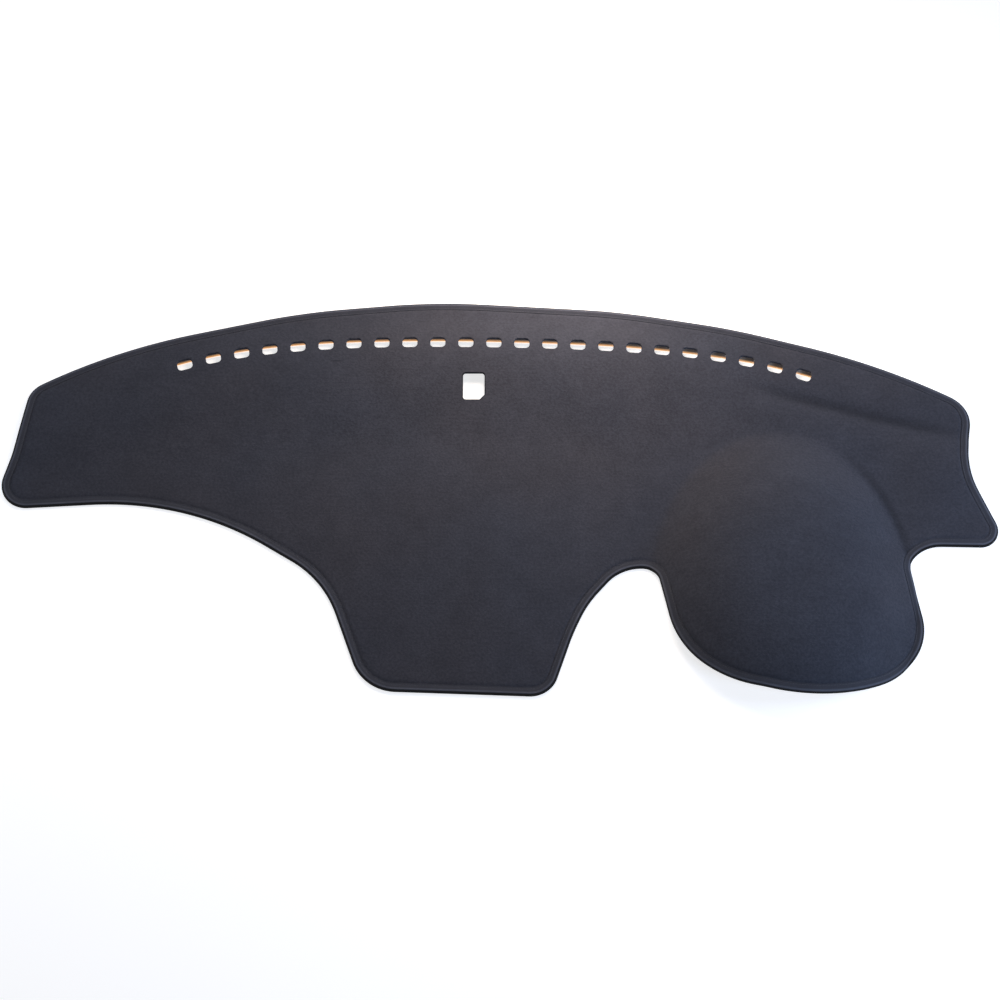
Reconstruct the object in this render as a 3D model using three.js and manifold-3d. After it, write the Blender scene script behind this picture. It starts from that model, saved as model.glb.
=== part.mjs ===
// A dashboard cover mat: one sheet of short-pile felt, moulded to the top of a dashboard,
// with a folded tape sewn round its whole edge. Millimetres, +Z up, the windscreen towards +Y.
// The mat lies on its flat underside, with the middle of its footprint at the origin.
import * as THREE from "three";
import { mergeVertices } from "three/addons/utils/BufferGeometryUtils.js";
import Module from "manifold-3d";

// Overall size of the outline
const MAT_LENGTH = 1404;
const MAT_DEPTH = 617;

// Felt sheet
const SHEET_THICKNESS = 4;
const FELT_COLOUR = 0x3d3e44;
const FELT_ROUGHNESS = 0.95;

// Folded edge tape
const TAPE_WIDTH = 12;
const TAPE_THICKNESS = 0.7;
const TAPE_STANDS_PROUD = 0.4;
const SEWN_GAP = 0.3;
const TAPE_COLOUR = 0x34353b;
const TAPE_ROUGHNESS = 0.85;

// Hood over the instruments: a dome of four quarter ellipses round its crown
const HOOD_X = 402;
const HOOD_Y = -161;
const HOOD_HEIGHT = 56;
const HOOD_LEFT = 190;
const HOOD_RIGHT = 176;
const HOOD_BACK = 255;
const HOOD_FRONT = 208;
const HOOD_FLATNESS = 3.3;

// Ridge in front of the demister vents
const RIDGE_Y = 214;
const RIDGE_HEIGHT = 16;
const RIDGE_END_HEIGHT = 8;
const RIDGE_FRONT = 150;
const RIDGE_BACK = 95;
const RIDGE_REACH = 620;

// Swell over the right-hand end of the dashboard, and the crease behind it
const SWELL_X = 644;
const SWELL_Y = 19;
const SWELL_HEIGHT = 9;
const SWELL_HALF_WIDTH = 110;
const SWELL_HALF_DEPTH = 130;
const CREASE_DEPTH = 4;
const CREASE_HALF_WIDTH = 45;
const CREASE_START_X = 324;
const CREASE_FULL_X = 464;
const CREASE_Y = 138;
const CREASE_SLOPE = -0.268;

// Row of slots over the demister vents
const VENT_COUNT = 23;
const VENT_PITCH = 40.9;
const VENT_MIDDLE_X = -4.5;
const VENT_Y = 234;
const VENT_WIDTH = 22;
const VENT_DEPTH = 17;
const VENT_CORNER = 6;

// Opening over the light sensor, with one corner cut off
const WINDOW_X = -33.5;
const WINDOW_Y = 164;
const WINDOW_WIDTH = 31;
const WINDOW_DEPTH = 40;
const WINDOW_CORNER = 4;
const WINDOW_CHAMFER = 7;

// Tongue that hangs over the middle of the dashboard
const TONGUE_X = -54;
const TONGUE_WIDTH = 253;

// Fineness of the surfaces: long grid cells where the sheet only changes from front to back
const GRID_CELL = 27;
const LONG_GRID_CELL = 60;
const CHORD_ERROR = 0.4;

const wasm = await Module();
wasm.setup();

// A bell that is 1 at 0 and fades smoothly to 0 at 1 and beyond.
function bell(distance) {
  const d = Math.abs(distance);
  return d >= 1 ? 0 : Math.cos((Math.PI / 2) * d) ** 2;
}

// A line across the mat that droops towards both ends, a little more on the right.
function bowedLine(x, middle, droop, endDroop) {
  const u = (x + 6) / 450;
  return middle - 8 * u - droop * u ** 2 - endDroop * u ** 4;
}

const ventLine = (x) => bowedLine(x, VENT_Y, 13, 29);
const ridgeLine = (x) => bowedLine(x, RIDGE_Y, 30, 5);

function ridgeLift(x, y) {
  const swelling = RIDGE_HEIGHT - RIDGE_END_HEIGHT;
  const height = RIDGE_END_HEIGHT + swelling * bell(x / RIDGE_REACH);
  const behind = y - ridgeLine(x);
  return height * bell(behind / (behind > 0 ? RIDGE_BACK : RIDGE_FRONT));
}

function hoodLift(x, y) {
  const halfWidth = x > HOOD_X ? HOOD_RIGHT : HOOD_LEFT;
  const halfDepth = y > HOOD_Y ? HOOD_BACK : HOOD_FRONT;
  const reach = Math.hypot((x - HOOD_X) / halfWidth, (y - HOOD_Y) / halfDepth);
  return reach >= 1 ? 0 : HOOD_HEIGHT * (1 - reach ** HOOD_FLATNESS) ** 1.5;
}

function swellLift(x, y) {
  const reach = Math.hypot((x - SWELL_X) / SWELL_HALF_WIDTH, (y - SWELL_Y) / SWELL_HALF_DEPTH);
  return SWELL_HEIGHT * bell(reach);
}

function creaseDrop(x, y) {
  const line = CREASE_Y + CREASE_SLOPE * (x - CREASE_FULL_X);
  const depth = CREASE_DEPTH * THREE.MathUtils.smoothstep(x, CREASE_START_X, CREASE_FULL_X);
  return depth * bell((y - line) / CREASE_HALF_WIDTH);
}

// How far the underside stands off the floor at a point of the footprint.
function lift(x, y) {
  const height = ridgeLift(x, y) + hoodLift(x, y) + swellLift(x, y) - creaseDrop(x, y);
  return Math.max(height, 0);
}

// The corners of the outline, anticlockwise, each with the radius that rounds it.
const left = -MAT_LENGTH / 2;
const right = MAT_LENGTH / 2;
const rear = MAT_DEPTH / 2;
const front = -MAT_DEPTH / 2;
const tongueLeft = TONGUE_X - TONGUE_WIDTH / 2;
const tongueRight = TONGUE_X + TONGUE_WIDTH / 2;
const CORNERS = [
  // left end
  [left + 27, rear - 148, 38],
  [left + 11, rear - 250, 200],
  [left - 12, rear - 336, 38],
  // long hollow in front of the passenger
  [tongueLeft - 258, -12, 430],
  [tongueLeft - 66, -130, 153],
  // tongue
  [tongueLeft - 43, -179, 190],
  [tongueLeft, front + 13, 65],
  [tongueRight, front + 4, 39],
  [tongueRight + 32, -213, 300],
  // notch between the tongue and the hood
  [HOOD_X - 277, HOOD_Y - 9, 157],
  [HOOD_X - 229, HOOD_Y + 45, 64],
  [HOOD_X - 180, HOOD_Y + 43, 24],
  // front of the hood
  [HOOD_X - 157, HOOD_Y - 73, 132],
  [HOOD_X - 93, HOOD_Y - 127, 158],
  [HOOD_X + 42, HOOD_Y - 160, 240],
  [HOOD_X + 145, HOOD_Y - 116, 125],
  [HOOD_X + 187, HOOD_Y - 62, 80],
  // notch between the hood and the right end
  [HOOD_X + 170, HOOD_Y + 48, 26],
  [HOOD_X + 192, HOOD_Y + 77, 50],
  // right end
  [right + 15, HOOD_Y + 75, 27],
  [right - 36, 29, 108],
  [right - 18, rear - 176, 48],
  // windscreen edge
  [right - 142, rear - 105, 910],
  [344, rear - 43, 915],
  [178, rear - 13, 910],
  [-90, rear + 4, 920],
  [-288, rear - 15, 905],
  [left + 143, rear - 80, 790],
];

// The rounded outline as points, each with its outward direction. Where two roundings want
// more of a side than it has, both give way in proportion.
function roundedOutline(corners) {
  const points = corners.map(([x, y]) => new THREE.Vector2(x, y));
  const count = points.length;
  const sides = points.map((p, i) => points[(i + 1) % count].clone().sub(p));
  const turns = points.map((_, i) => {
    const before = sides[(i + count - 1) % count];
    return Math.atan2(before.cross(sides[i]), before.dot(sides[i]));
  });
  const wanted = turns.map((turn, i) => corners[i][2] * Math.tan(Math.abs(turn) / 2));
  const share = sides.map((side, i) => {
    return Math.min(1, side.length() / (wanted[i] + wanted[(i + 1) % count]));
  });
  const outline = [];
  turns.forEach((turn, i) => {
    const before = sides[(i + count - 1) % count].clone().normalize();
    const cut = wanted[i] * Math.min(share[i], share[(i + count - 1) % count]);
    const radius = cut / Math.tan(turn / 2);
    const start = points[i].clone().addScaledVector(before, -cut);
    const middle = start.clone().add(new THREE.Vector2(-before.y, before.x).multiplyScalar(radius));
    const step = 2 * Math.acos(1 - CHORD_ERROR / Math.max(Math.abs(radius), 2 * CHORD_ERROR));
    const pieces = Math.max(1, Math.ceil(Math.abs(turn) / step));
    for (let k = 0; k <= pieces; k += 1) {
      const outward = new THREE.Vector2(before.y, -before.x);
      outward.rotateAround(new THREE.Vector2(), (turn * k) / pieces);
      outline.push({ at: middle.clone().addScaledVector(outward, radius), outward });
    }
  });
  return outline;
}

const OUTLINE = roundedOutline(CORNERS);

// The outline's points moved inwards by a distance.
function insetPoints(distance) {
  return OUTLINE.map(({ at, outward }) => at.clone().addScaledVector(outward, -distance));
}

// A geometry's triangles as a solid that can be joined and cut.
function toSolid(geometry) {
  const bare = new THREE.BufferGeometry();
  bare.setAttribute("position", geometry.getAttribute("position"));
  bare.setIndex(geometry.getIndex());
  const merged = mergeVertices(bare, 1e-4);
  const mesh = new wasm.Mesh({
    numProp: 3,
    vertProperties: new Float32Array(merged.getAttribute("position").array),
    triVerts: new Uint32Array(merged.getIndex().array),
  });
  return new wasm.Manifold(mesh);
}

function toGeometry(solid) {
  const mesh = solid.getMesh();
  const geometry = new THREE.BufferGeometry();
  geometry.setAttribute("position", new THREE.BufferAttribute(mesh.vertProperties, 3));
  geometry.setIndex(new THREE.BufferAttribute(mesh.triVerts, 1));
  geometry.computeVertexNormals();
  return geometry;
}

// An upright prism over a flat shape, from well below the mat to well above it.
function prism(shape) {
  const margin = 50;
  const height = HOOD_HEIGHT + RIDGE_HEIGHT + 2 * margin;
  const geometry = new THREE.ExtrudeGeometry(shape, { depth: height, bevelEnabled: false });
  geometry.translate(0, 0, -margin);
  return toSolid(geometry);
}

function insetPrism(distance) {
  return prism(new THREE.Shape(insetPoints(distance)));
}

// A point of the moulded surface, a distance out from the underside.
function surfacePoint(x, y, distance) {
  const step = 0.5;
  const slopeX = (lift(x + step, y) - lift(x - step, y)) / (2 * step);
  const slopeY = (lift(x, y + step) - lift(x, y - step)) / (2 * step);
  const outward = new THREE.Vector3(-slopeX, -slopeY, 1).normalize();
  return new THREE.Vector3(x, y, lift(x, y)).addScaledVector(outward, distance);
}

// Evenly spaced places from one end of a stretch to the other, at most a cell apart.
function spread(from, to, cell) {
  const count = Math.ceil((to - from) / cell);
  return Array.from({ length: count + 1 }, (_, i) => from + ((to - from) * i) / count);
}

// A closed layer that follows the moulded surface over the whole footprint, between two
// distances from the underside. Every layer has its corners over the same grid, so layers
// stay parallel.
function layer(lower, upper) {
  const margin = GRID_CELL;
  const hoodStart = HOOD_X - HOOD_LEFT;
  const xs = spread(left - margin, hoodStart, LONG_GRID_CELL);
  xs.push(...spread(hoodStart, right + margin, GRID_CELL).slice(1));
  const ys = spread(front - margin, rear + margin, GRID_CELL);
  const columns = xs.length - 1;
  const rows = ys.length - 1;
  const positions = [];
  for (const distance of [lower, upper]) {
    for (const y of ys) {
      for (const x of xs) {
        positions.push(...surfacePoint(x, y, distance));
      }
    }
  }
  const below = (i, j) => j * (columns + 1) + i;
  const above = (i, j) => below(i, j) + (columns + 1) * (rows + 1);
  const indices = [];
  for (let j = 0; j < rows; j += 1) {
    for (let i = 0; i < columns; i += 1) {
      indices.push(above(i, j), above(i + 1, j), above(i + 1, j + 1));
      indices.push(above(i, j), above(i + 1, j + 1), above(i, j + 1));
      indices.push(below(i, j), below(i + 1, j + 1), below(i + 1, j));
      indices.push(below(i, j), below(i, j + 1), below(i + 1, j + 1));
    }
  }
  const wall = (a, b, c, d) => indices.push(a, b, c, a, c, d);
  for (let i = 0; i < columns; i += 1) {
    wall(below(i, 0), below(i + 1, 0), above(i + 1, 0), above(i, 0));
    wall(below(i + 1, rows), below(i, rows), above(i, rows), above(i + 1, rows));
  }
  for (let j = 0; j < rows; j += 1) {
    wall(below(0, j + 1), below(0, j), above(0, j), above(0, j + 1));
    wall(below(columns, j), below(columns, j + 1), above(columns, j + 1), above(columns, j));
  }
  const geometry = new THREE.BufferGeometry();
  geometry.setAttribute("position", new THREE.BufferAttribute(new Float32Array(positions), 3));
  geometry.setIndex(indices);
  return toSolid(geometry);
}

// A rectangle round the origin with rounded corners. The lower right corner may be cut off
// straight instead.
function openingShape(width, depth, corner, chamfer = 0) {
  const x = width / 2;
  const y = depth / 2;
  const c = Math.min(corner, x, y);
  const quarter = Math.PI / 2;
  const shape = new THREE.Shape();
  shape.moveTo(-x + c, -y);
  if (chamfer > 0) {
    shape.lineTo(x - chamfer, -y);
    shape.lineTo(x, -y + chamfer);
  } else {
    shape.absarc(x - c, -y + c, c, -quarter, 0, false);
  }
  shape.absarc(x - c, y - c, c, 0, quarter, false);
  shape.absarc(-x + c, y - c, c, quarter, 2 * quarter, false);
  shape.absarc(-x + c, -y + c, c, 2 * quarter, 3 * quarter, false);
  return shape;
}

// The same shape turned about the origin, then moved to a place on the mat.
function placedShape(shape, x, y, angle) {
  const curvePieces = 1;
  const place = new THREE.Vector2(x, y);
  const points = shape.getPoints(curvePieces).map((p) => {
    return p.rotateAround(new THREE.Vector2(), angle).add(place);
  });
  return new THREE.Shape(points);
}

function ventPrism(index) {
  const x = VENT_MIDDLE_X + (index - (VENT_COUNT - 1) / 2) * VENT_PITCH;
  const angle = Math.atan(ventLine(x + 0.5) - ventLine(x - 0.5));
  const slot = openingShape(VENT_WIDTH, VENT_DEPTH, VENT_CORNER);
  return prism(placedShape(slot, x, ventLine(x), angle));
}

function windowPrism() {
  const opening = openingShape(WINDOW_WIDTH, WINDOW_DEPTH, WINDOW_CORNER, WINDOW_CHAMFER);
  return prism(placedShape(opening, WINDOW_X, WINDOW_Y, 0));
}

const edgeThickness = SHEET_THICKNESS + TAPE_STANDS_PROUD;
const tapeAndGap = TAPE_THICKNESS + SEWN_GAP;

// The felt sheet: full thickness inside the tape, pinched thinner where the tape holds it.
function makePanel() {
  const body = layer(0, SHEET_THICKNESS).intersect(insetPrism(TAPE_WIDTH + SEWN_GAP));
  const pinched = layer(tapeAndGap, edgeThickness - tapeAndGap);
  let panel = body.add(pinched.intersect(insetPrism(tapeAndGap)));
  for (let index = 0; index < VENT_COUNT; index += 1) {
    panel = panel.subtract(ventPrism(index));
  }
  return panel.subtract(windowPrism());
}

// The tape: a strip folded over the edge, one leg above the sheet and one below it.
function makeTape() {
  const strip = layer(0, edgeThickness).intersect(insetPrism(0));
  const channel = layer(TAPE_THICKNESS, edgeThickness - TAPE_THICKNESS);
  return strip.subtract(insetPrism(TAPE_WIDTH)).subtract(channel.intersect(insetPrism(TAPE_THICKNESS)));
}

function makeMesh(name, solid, colour, roughness) {
  const material = new THREE.MeshStandardMaterial({ color: colour, roughness, metalness: 0 });
  const mesh = new THREE.Mesh(toGeometry(solid), material);
  mesh.name = name;
  return mesh;
}

const mat = new THREE.Group();
mat.add(makeMesh("mat_panel", makePanel(), FELT_COLOUR, FELT_ROUGHNESS));
mat.add(makeMesh("edge_binding", makeTape(), TAPE_COLOUR, TAPE_ROUGHNESS));

// The middle of the footprint comes to the origin.
const box = new THREE.Box3().setFromObject(mat);
mat.position.set(-(box.min.x + box.max.x) / 2, -(box.min.y + box.max.y) / 2, -box.min.z);

export default mat;
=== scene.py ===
# %% [markdown]
# # A cover mat for a dashboard
# The mat is one sheet of charcoal felt, heat-moulded to the top of a dashboard, with a folded
# tape sewn round its edge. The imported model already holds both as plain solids. This lesson
# loads them, makes a fine felt sheet and a sewn edge over them, and lights the mat like a
# studio photograph. Everything is in metres, with the windscreen towards +Y and up as +Z.

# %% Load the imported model
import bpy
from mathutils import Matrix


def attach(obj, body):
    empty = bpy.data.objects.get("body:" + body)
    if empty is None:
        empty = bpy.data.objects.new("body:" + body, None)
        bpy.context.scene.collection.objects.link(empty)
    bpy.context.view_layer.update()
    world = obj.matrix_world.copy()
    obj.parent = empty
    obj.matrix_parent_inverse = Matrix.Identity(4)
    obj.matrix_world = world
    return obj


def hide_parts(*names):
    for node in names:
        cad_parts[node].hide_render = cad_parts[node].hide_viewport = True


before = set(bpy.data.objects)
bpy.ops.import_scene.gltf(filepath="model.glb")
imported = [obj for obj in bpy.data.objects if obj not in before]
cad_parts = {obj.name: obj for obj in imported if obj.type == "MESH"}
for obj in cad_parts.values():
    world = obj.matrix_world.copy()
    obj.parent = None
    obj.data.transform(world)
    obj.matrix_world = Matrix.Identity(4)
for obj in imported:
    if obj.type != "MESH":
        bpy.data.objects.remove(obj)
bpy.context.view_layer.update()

# %% Modules of the lesson
import math

import bpy
import numpy as np
from mathutils import Vector, geometry

# %% [markdown]
# ## The moulded form
# The real sheet is pressed over a form in a heated mould, so its height at any place of the
# footprint follows one smooth rule. A sculpted mesh could hold that form, but a formula is
# easier to keep equal to the solids: a dome over the instruments, a ridge in front of the
# vents, a swell at the right-hand end and a crease behind it.

# %% Sizes of the form
MAT_LENGTH = 1.404
MAT_DEPTH = 0.617
SHEET_THICKNESS = 0.004
HOOD = {"x": 0.402, "y": -0.161, "height": 0.056}
HOOD_REACH = {"left": 0.190, "right": 0.176, "back": 0.255, "front": 0.208}
HOOD_FLATNESS = 3.3
RIDGE = {"y": 0.214, "height": 0.016, "end_height": 0.008, "reach": 0.620}
RIDGE_FRONT = 0.150
RIDGE_BACK = 0.095
SWELL = {"x": 0.644, "y": 0.019, "height": 0.009, "half_width": 0.110, "half_depth": 0.130}
CREASE = {"x": 0.464, "y": 0.138, "slope": -0.268, "depth": 0.004, "half_width": 0.045}
CREASE_START_X = 0.324
CREASE_END_X = (0.58, 0.69)
CREASE_FADE = 0.75
FOLD_DEPTH = 0.0032
FOLD_HALF_WIDTH = 0.018
VALLEY_HALF_WIDTH = 0.012
VALLEY_ANGLES = (-0.1, 0.25, 0.55, 1.25)
VENT_Y = 0.234
BOW_MIDDLE_X = -0.006
BOW_HALF_LENGTH = 0.450
BOW_TILT = 0.008
VENT_DROOPS = (0.013, 0.029)
RIDGE_DROOPS = (0.030, 0.005)
print("The form is", MAT_LENGTH, "by", MAT_DEPTH, "m, with a hood", HOOD["height"], "m high")


# %% Height formula
def bell(distance):
    """1 at 0, and smoothly 0 at 1 and beyond."""
    d = np.minimum(np.abs(distance), 1.0)
    return np.cos(math.pi / 2 * d) ** 2


def bowed_line(x, middle, droop, end_droop):
    """A line across the mat that droops towards both ends, a little more on the right."""
    u = (x - BOW_MIDDLE_X) / BOW_HALF_LENGTH
    return middle - BOW_TILT * u - droop * u**2 - end_droop * u**4


def vent_line(x):
    """Where the row of slots runs: its y at each x."""
    return bowed_line(x, VENT_Y, *VENT_DROOPS)


def ridge_lift(x, y):
    """The ridge in front of the vents, steeper behind than in front."""
    swelling = RIDGE["height"] - RIDGE["end_height"]
    height = RIDGE["end_height"] + swelling * bell(x / RIDGE["reach"])
    behind = y - bowed_line(x, RIDGE["y"], *RIDGE_DROOPS)
    return height * bell(behind / np.where(behind > 0, RIDGE_BACK, RIDGE_FRONT))


def hood_lift(x, y):
    """The dome over the instruments, with its own reach to each side."""
    half_width = np.where(x > HOOD["x"], HOOD_REACH["right"], HOOD_REACH["left"])
    half_depth = np.where(y > HOOD["y"], HOOD_REACH["back"], HOOD_REACH["front"])
    reach = np.hypot((x - HOOD["x"]) / half_width, (y - HOOD["y"]) / half_depth)
    return HOOD["height"] * (1 - np.minimum(reach, 1) ** HOOD_FLATNESS) ** 1.5


def swell_lift(x, y):
    """The low swell at the right-hand end."""
    across = (x - SWELL["x"]) / SWELL["half_width"]
    along = (y - SWELL["y"]) / SWELL["half_depth"]
    return SWELL["height"] * bell(np.hypot(across, along))


def eased(value, low, high):
    """0 up to low and 1 from high, with a soft start and end between them."""
    t = np.clip((value - low) / (high - low), 0, 1)
    return t * t * (3 - 2 * t)


def crease_at(x, y):
    """How far the crease has set in (0 to 1), the distance off it, and how much of it is left."""
    off = y - (CREASE["y"] + CREASE["slope"] * (x - CREASE["x"]))
    left_over = 1 - CREASE_FADE * eased(x, *CREASE_END_X)
    return eased(x, CREASE_START_X, CREASE["x"]), off, left_over


def crease_drop(x, y):
    """A broad hollow along the crease, with a narrow fold at its bottom."""
    start, off, left_over = crease_at(x, y)
    broad = CREASE["depth"] * bell(off / CREASE["half_width"])
    return start * (broad + left_over * FOLD_DEPTH * bell(off / FOLD_HALF_WIDTH))


def painted_shade(x, y):
    """0 to 1 where shade is painted on: in the crease and the valley beside the hood."""
    start, off, left_over = crease_at(x, y)
    crease = start * left_over * bell(off / FOLD_HALF_WIDTH)
    u, v = (x - HOOD["x"]) / HOOD_REACH["right"], (y - HOOD["y"]) / HOOD_REACH["back"]
    reach, angle = np.hypot(u, v), np.arctan2(v, u)
    low, full, fading, end = VALLEY_ANGLES
    window = eased(angle, low, full) * (1 - eased(angle, fading, end))
    valley = window * bell((reach - 1) * HOOD_REACH["right"] / VALLEY_HALF_WIDTH)
    return np.maximum(crease, valley)


def lift(x, y):
    """How far the underside stands off the floor at a place of the footprint."""
    height = ridge_lift(x, y) + hood_lift(x, y) + swell_lift(x, y) - crease_drop(x, y)
    return np.maximum(height, 0)


print("Height over the hood's crown:", round(float(lift(HOOD["x"], HOOD["y"])), 4))

# %% [markdown]
# ## The outline
# A pattern maker draws such an outline as corners with a rounding for each. The same corners
# as in the solids are rounded here with arcs, and the points come out evenly spaced, each
# with its outward direction, so that a seam or a tape can run beside the edge.

# %% Corners of the outline
left, right = -MAT_LENGTH / 2, MAT_LENGTH / 2
front, rear = -MAT_DEPTH / 2, MAT_DEPTH / 2
TONGUE_X = -0.054
TONGUE_WIDTH = 0.253
tongue_left = TONGUE_X - TONGUE_WIDTH / 2
tongue_right = TONGUE_X + TONGUE_WIDTH / 2
# each corner is x, y and the radius of its rounding
hood_x, hood_y = HOOD["x"], HOOD["y"]
CORNERS = [
    # left end
    (left + 0.027, rear - 0.148, 0.038),
    (left + 0.011, rear - 0.250, 0.200),
    (left - 0.012, rear - 0.336, 0.038),
    # long hollow in front of the passenger
    (tongue_left - 0.258, -0.012, 0.430),
    (tongue_left - 0.066, -0.130, 0.153),
    # tongue
    (tongue_left - 0.043, -0.179, 0.190),
    (tongue_left, front + 0.013, 0.065),
    (tongue_right, front + 0.004, 0.039),
    (tongue_right + 0.032, -0.213, 0.300),
    # notch between the tongue and the hood
    (hood_x - 0.277, hood_y - 0.009, 0.157),
    (hood_x - 0.229, hood_y + 0.045, 0.064),
    (hood_x - 0.180, hood_y + 0.043, 0.024),
    # front of the hood
    (hood_x - 0.157, hood_y - 0.073, 0.132),
    (hood_x - 0.093, hood_y - 0.127, 0.158),
    (hood_x + 0.042, hood_y - 0.160, 0.240),
    (hood_x + 0.145, hood_y - 0.116, 0.125),
    (hood_x + 0.187, hood_y - 0.062, 0.080),
    # notch between the hood and the right end
    (hood_x + 0.170, hood_y + 0.048, 0.026),
    (hood_x + 0.192, hood_y + 0.077, 0.050),
    # right end
    (right + 0.015, hood_y + 0.075, 0.027),
    (right - 0.036, 0.029, 0.108),
    (right - 0.018, rear - 0.176, 0.048),
    # windscreen edge
    (right - 0.142, rear - 0.105, 0.910),
    (0.344, rear - 0.043, 0.915),
    (0.178, rear - 0.013, 0.910),
    (-0.090, rear + 0.004, 0.920),
    (-0.288, rear - 0.015, 0.905),
    (left + 0.143, rear - 0.080, 0.790),
]


# %% Round the corners
EDGE_SPACING = 0.004
SAME_POINT = 0.00001


def rounded_outline(corners, spacing):
    """Points and outward directions round the outline, at most a spacing apart."""
    points = np.array([(x, y) for x, y, _ in corners])
    radii = np.array([r for _, _, r in corners])
    sides = np.roll(points, -1, 0) - points
    lengths = np.hypot(*sides.T)
    directions = sides / lengths[:, None]
    before = np.roll(directions, 1, 0)
    cross = before[:, 0] * directions[:, 1] - before[:, 1] * directions[:, 0]
    turns = np.arctan2(cross, (before * directions).sum(1))
    wanted = radii * np.tan(np.abs(turns) / 2)
    share = np.minimum(1, lengths / (wanted + np.roll(wanted, -1)))
    cuts = wanted * np.minimum(share, np.roll(share, 1))
    places, outwards = [], []
    for i, turn in enumerate(turns):
        radius = cuts[i] / math.tan(turn / 2)
        start = points[i] - before[i] * cuts[i]
        middle = start + np.array([-before[i][1], before[i][0]]) * radius
        pieces = max(2, math.ceil(abs(radius * turn) / spacing))
        for k in range(pieces + 1):
            a = turn * k / pieces
            bx, by = before[i][1], -before[i][0]
            c, s = math.cos(a), math.sin(a)
            outward = np.array([bx * c - by * s, bx * s + by * c])
            places.append(middle + outward * radius)
            outwards.append(outward)
        end = places[-1]
        straight = lengths[i] - cuts[i] - cuts[(i + 1) % len(cuts)]
        steps = math.ceil(straight / spacing)
        for k in range(1, steps):
            places.append(end + directions[i] * straight * k / steps)
            outwards.append(outwards[-1])
    places, outwards = np.array(places), np.array(outwards)
    apart = np.hypot(*(np.roll(places, -1, 0) - places).T) > SAME_POINT
    return places[apart], outwards[apart]


outline, outward = rounded_outline(CORNERS, EDGE_SPACING)
outline_middle = (outline.min(0) + outline.max(0)) / 2
outline_length = float(np.hypot(*(np.roll(outline, -1, 0) - outline).T).sum())
print(len(outline), "outline points, length", round(outline_length, 3), "m")


# %% [markdown]
# ## Laying a flat pattern on the form
# The real pieces are cut and sewn flat, then moulded. The lesson does the same: each piece is
# made flat, with its z as the distance from the underside, and one function lays it on the
# form. A shrinkwrap could do that too, but it would lose the thickness on the steep flanks.

# %% Lay flat points on the form
SLOPE_STEP = 0.0004


def laid(points):
    """Flat points (x, y, distance from the underside), moved onto the moulded form."""
    x, y, distance = points.T
    slope_x = (lift(x + SLOPE_STEP, y) - lift(x - SLOPE_STEP, y)) / (2 * SLOPE_STEP)
    slope_y = (lift(x, y + SLOPE_STEP) - lift(x, y - SLOPE_STEP)) / (2 * SLOPE_STEP)
    normal = np.stack([-slope_x, -slope_y, np.ones_like(x)], 1)
    normal /= np.linalg.norm(normal, axis=1)[:, None]
    surface = np.stack([x, y, lift(x, y)], 1) + normal * distance[:, None]
    surface[:, :2] -= outline_middle
    return surface


def lay_mesh(mesh):
    """Moves every vertex of a flat mesh onto the form."""
    flat = np.empty(len(mesh.vertices) * 3)
    mesh.vertices.foreach_get("co", flat)
    mesh.vertices.foreach_set("co", laid(flat.reshape(-1, 3)).ravel())
    mesh.update()


def add_object(name, mesh):
    """A new object in the scene that holds the mesh or curve."""
    piece = bpy.data.objects.new(name, mesh)
    bpy.context.scene.collection.objects.link(piece)
    return piece


crown = laid(np.array([[HOOD["x"], HOOD["y"], SHEET_THICKNESS]]))[0]
print("Top of the felt on the hood's crown:", [round(float(c), 4) for c in crown])

# %% [markdown]
# ## The openings
# The slots over the demister vents are cut one by one, at an even pitch along a bowed line,
# and the window for the light sensor is a rectangle with one corner cut off. Each is an
# outline of points, so that the felt can be meshed round it.

# %% Outlines of the openings
VENT_COUNT = 23
VENT_PITCH = 0.0409
VENT_MIDDLE_X = -0.0045
VENT_SIZE = (0.022, 0.017)
VENT_CORNER = 0.006
WINDOW_PLACE = (-0.0335, 0.164)
WINDOW_SIZE = (0.031, 0.040)
WINDOW_CORNER = 0.004
WINDOW_CHAMFER = 0.007
CHAMFER_ROUNDING = 0.0008
CUT_SPACING = 0.0015


def opening_outline(size, corner, chamfer=0.0):
    """An opening's edge round the origin, anticlockwise, with its outward directions."""
    x, y = size[0] / 2, size[1] / 2
    if chamfer:
        corners = [(x - chamfer, -y, CHAMFER_ROUNDING), (x, -y + chamfer, CHAMFER_ROUNDING)]
    else:
        corners = [(x, -y, corner)]
    corners += [(x, y, corner), (-x, y, corner), (-x, -y, corner)]
    return rounded_outline(corners, CUT_SPACING)


def placed(points, place, angle):
    """Flat points turned by an angle and moved to a place."""
    c, s = math.cos(angle), math.sin(angle)
    turned = points @ np.array([[c, s], [-s, c]])
    return turned + np.array(place)


openings = []
for index in range(VENT_COUNT):
    x = VENT_MIDDLE_X + (index - (VENT_COUNT - 1) / 2) * VENT_PITCH
    angle = math.atan2(vent_line(x + 0.001) - vent_line(x - 0.001), 0.002)
    edge, away = opening_outline(VENT_SIZE, VENT_CORNER)
    openings.append((placed(edge, (x, vent_line(x)), angle), placed(away, (0, 0), angle)))
edge, away = opening_outline(WINDOW_SIZE, WINDOW_CORNER, WINDOW_CHAMFER)
openings.append((placed(edge, WINDOW_PLACE, 0), away))
print(len(openings), "openings of", len(openings[0][0]), "to", len(edge), "points")

# %% [markdown]
# ## The felt sheet
# The felt is flat stock of one thickness with cut edges. Its mesh has rows of points along
# the edge and round each opening, where the shape changes fast, and an even field of points
# between them, all joined by a constrained triangulation. The same triangles serve the top
# and the underside, and walls close the sheet round its rim and in every opening.

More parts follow.
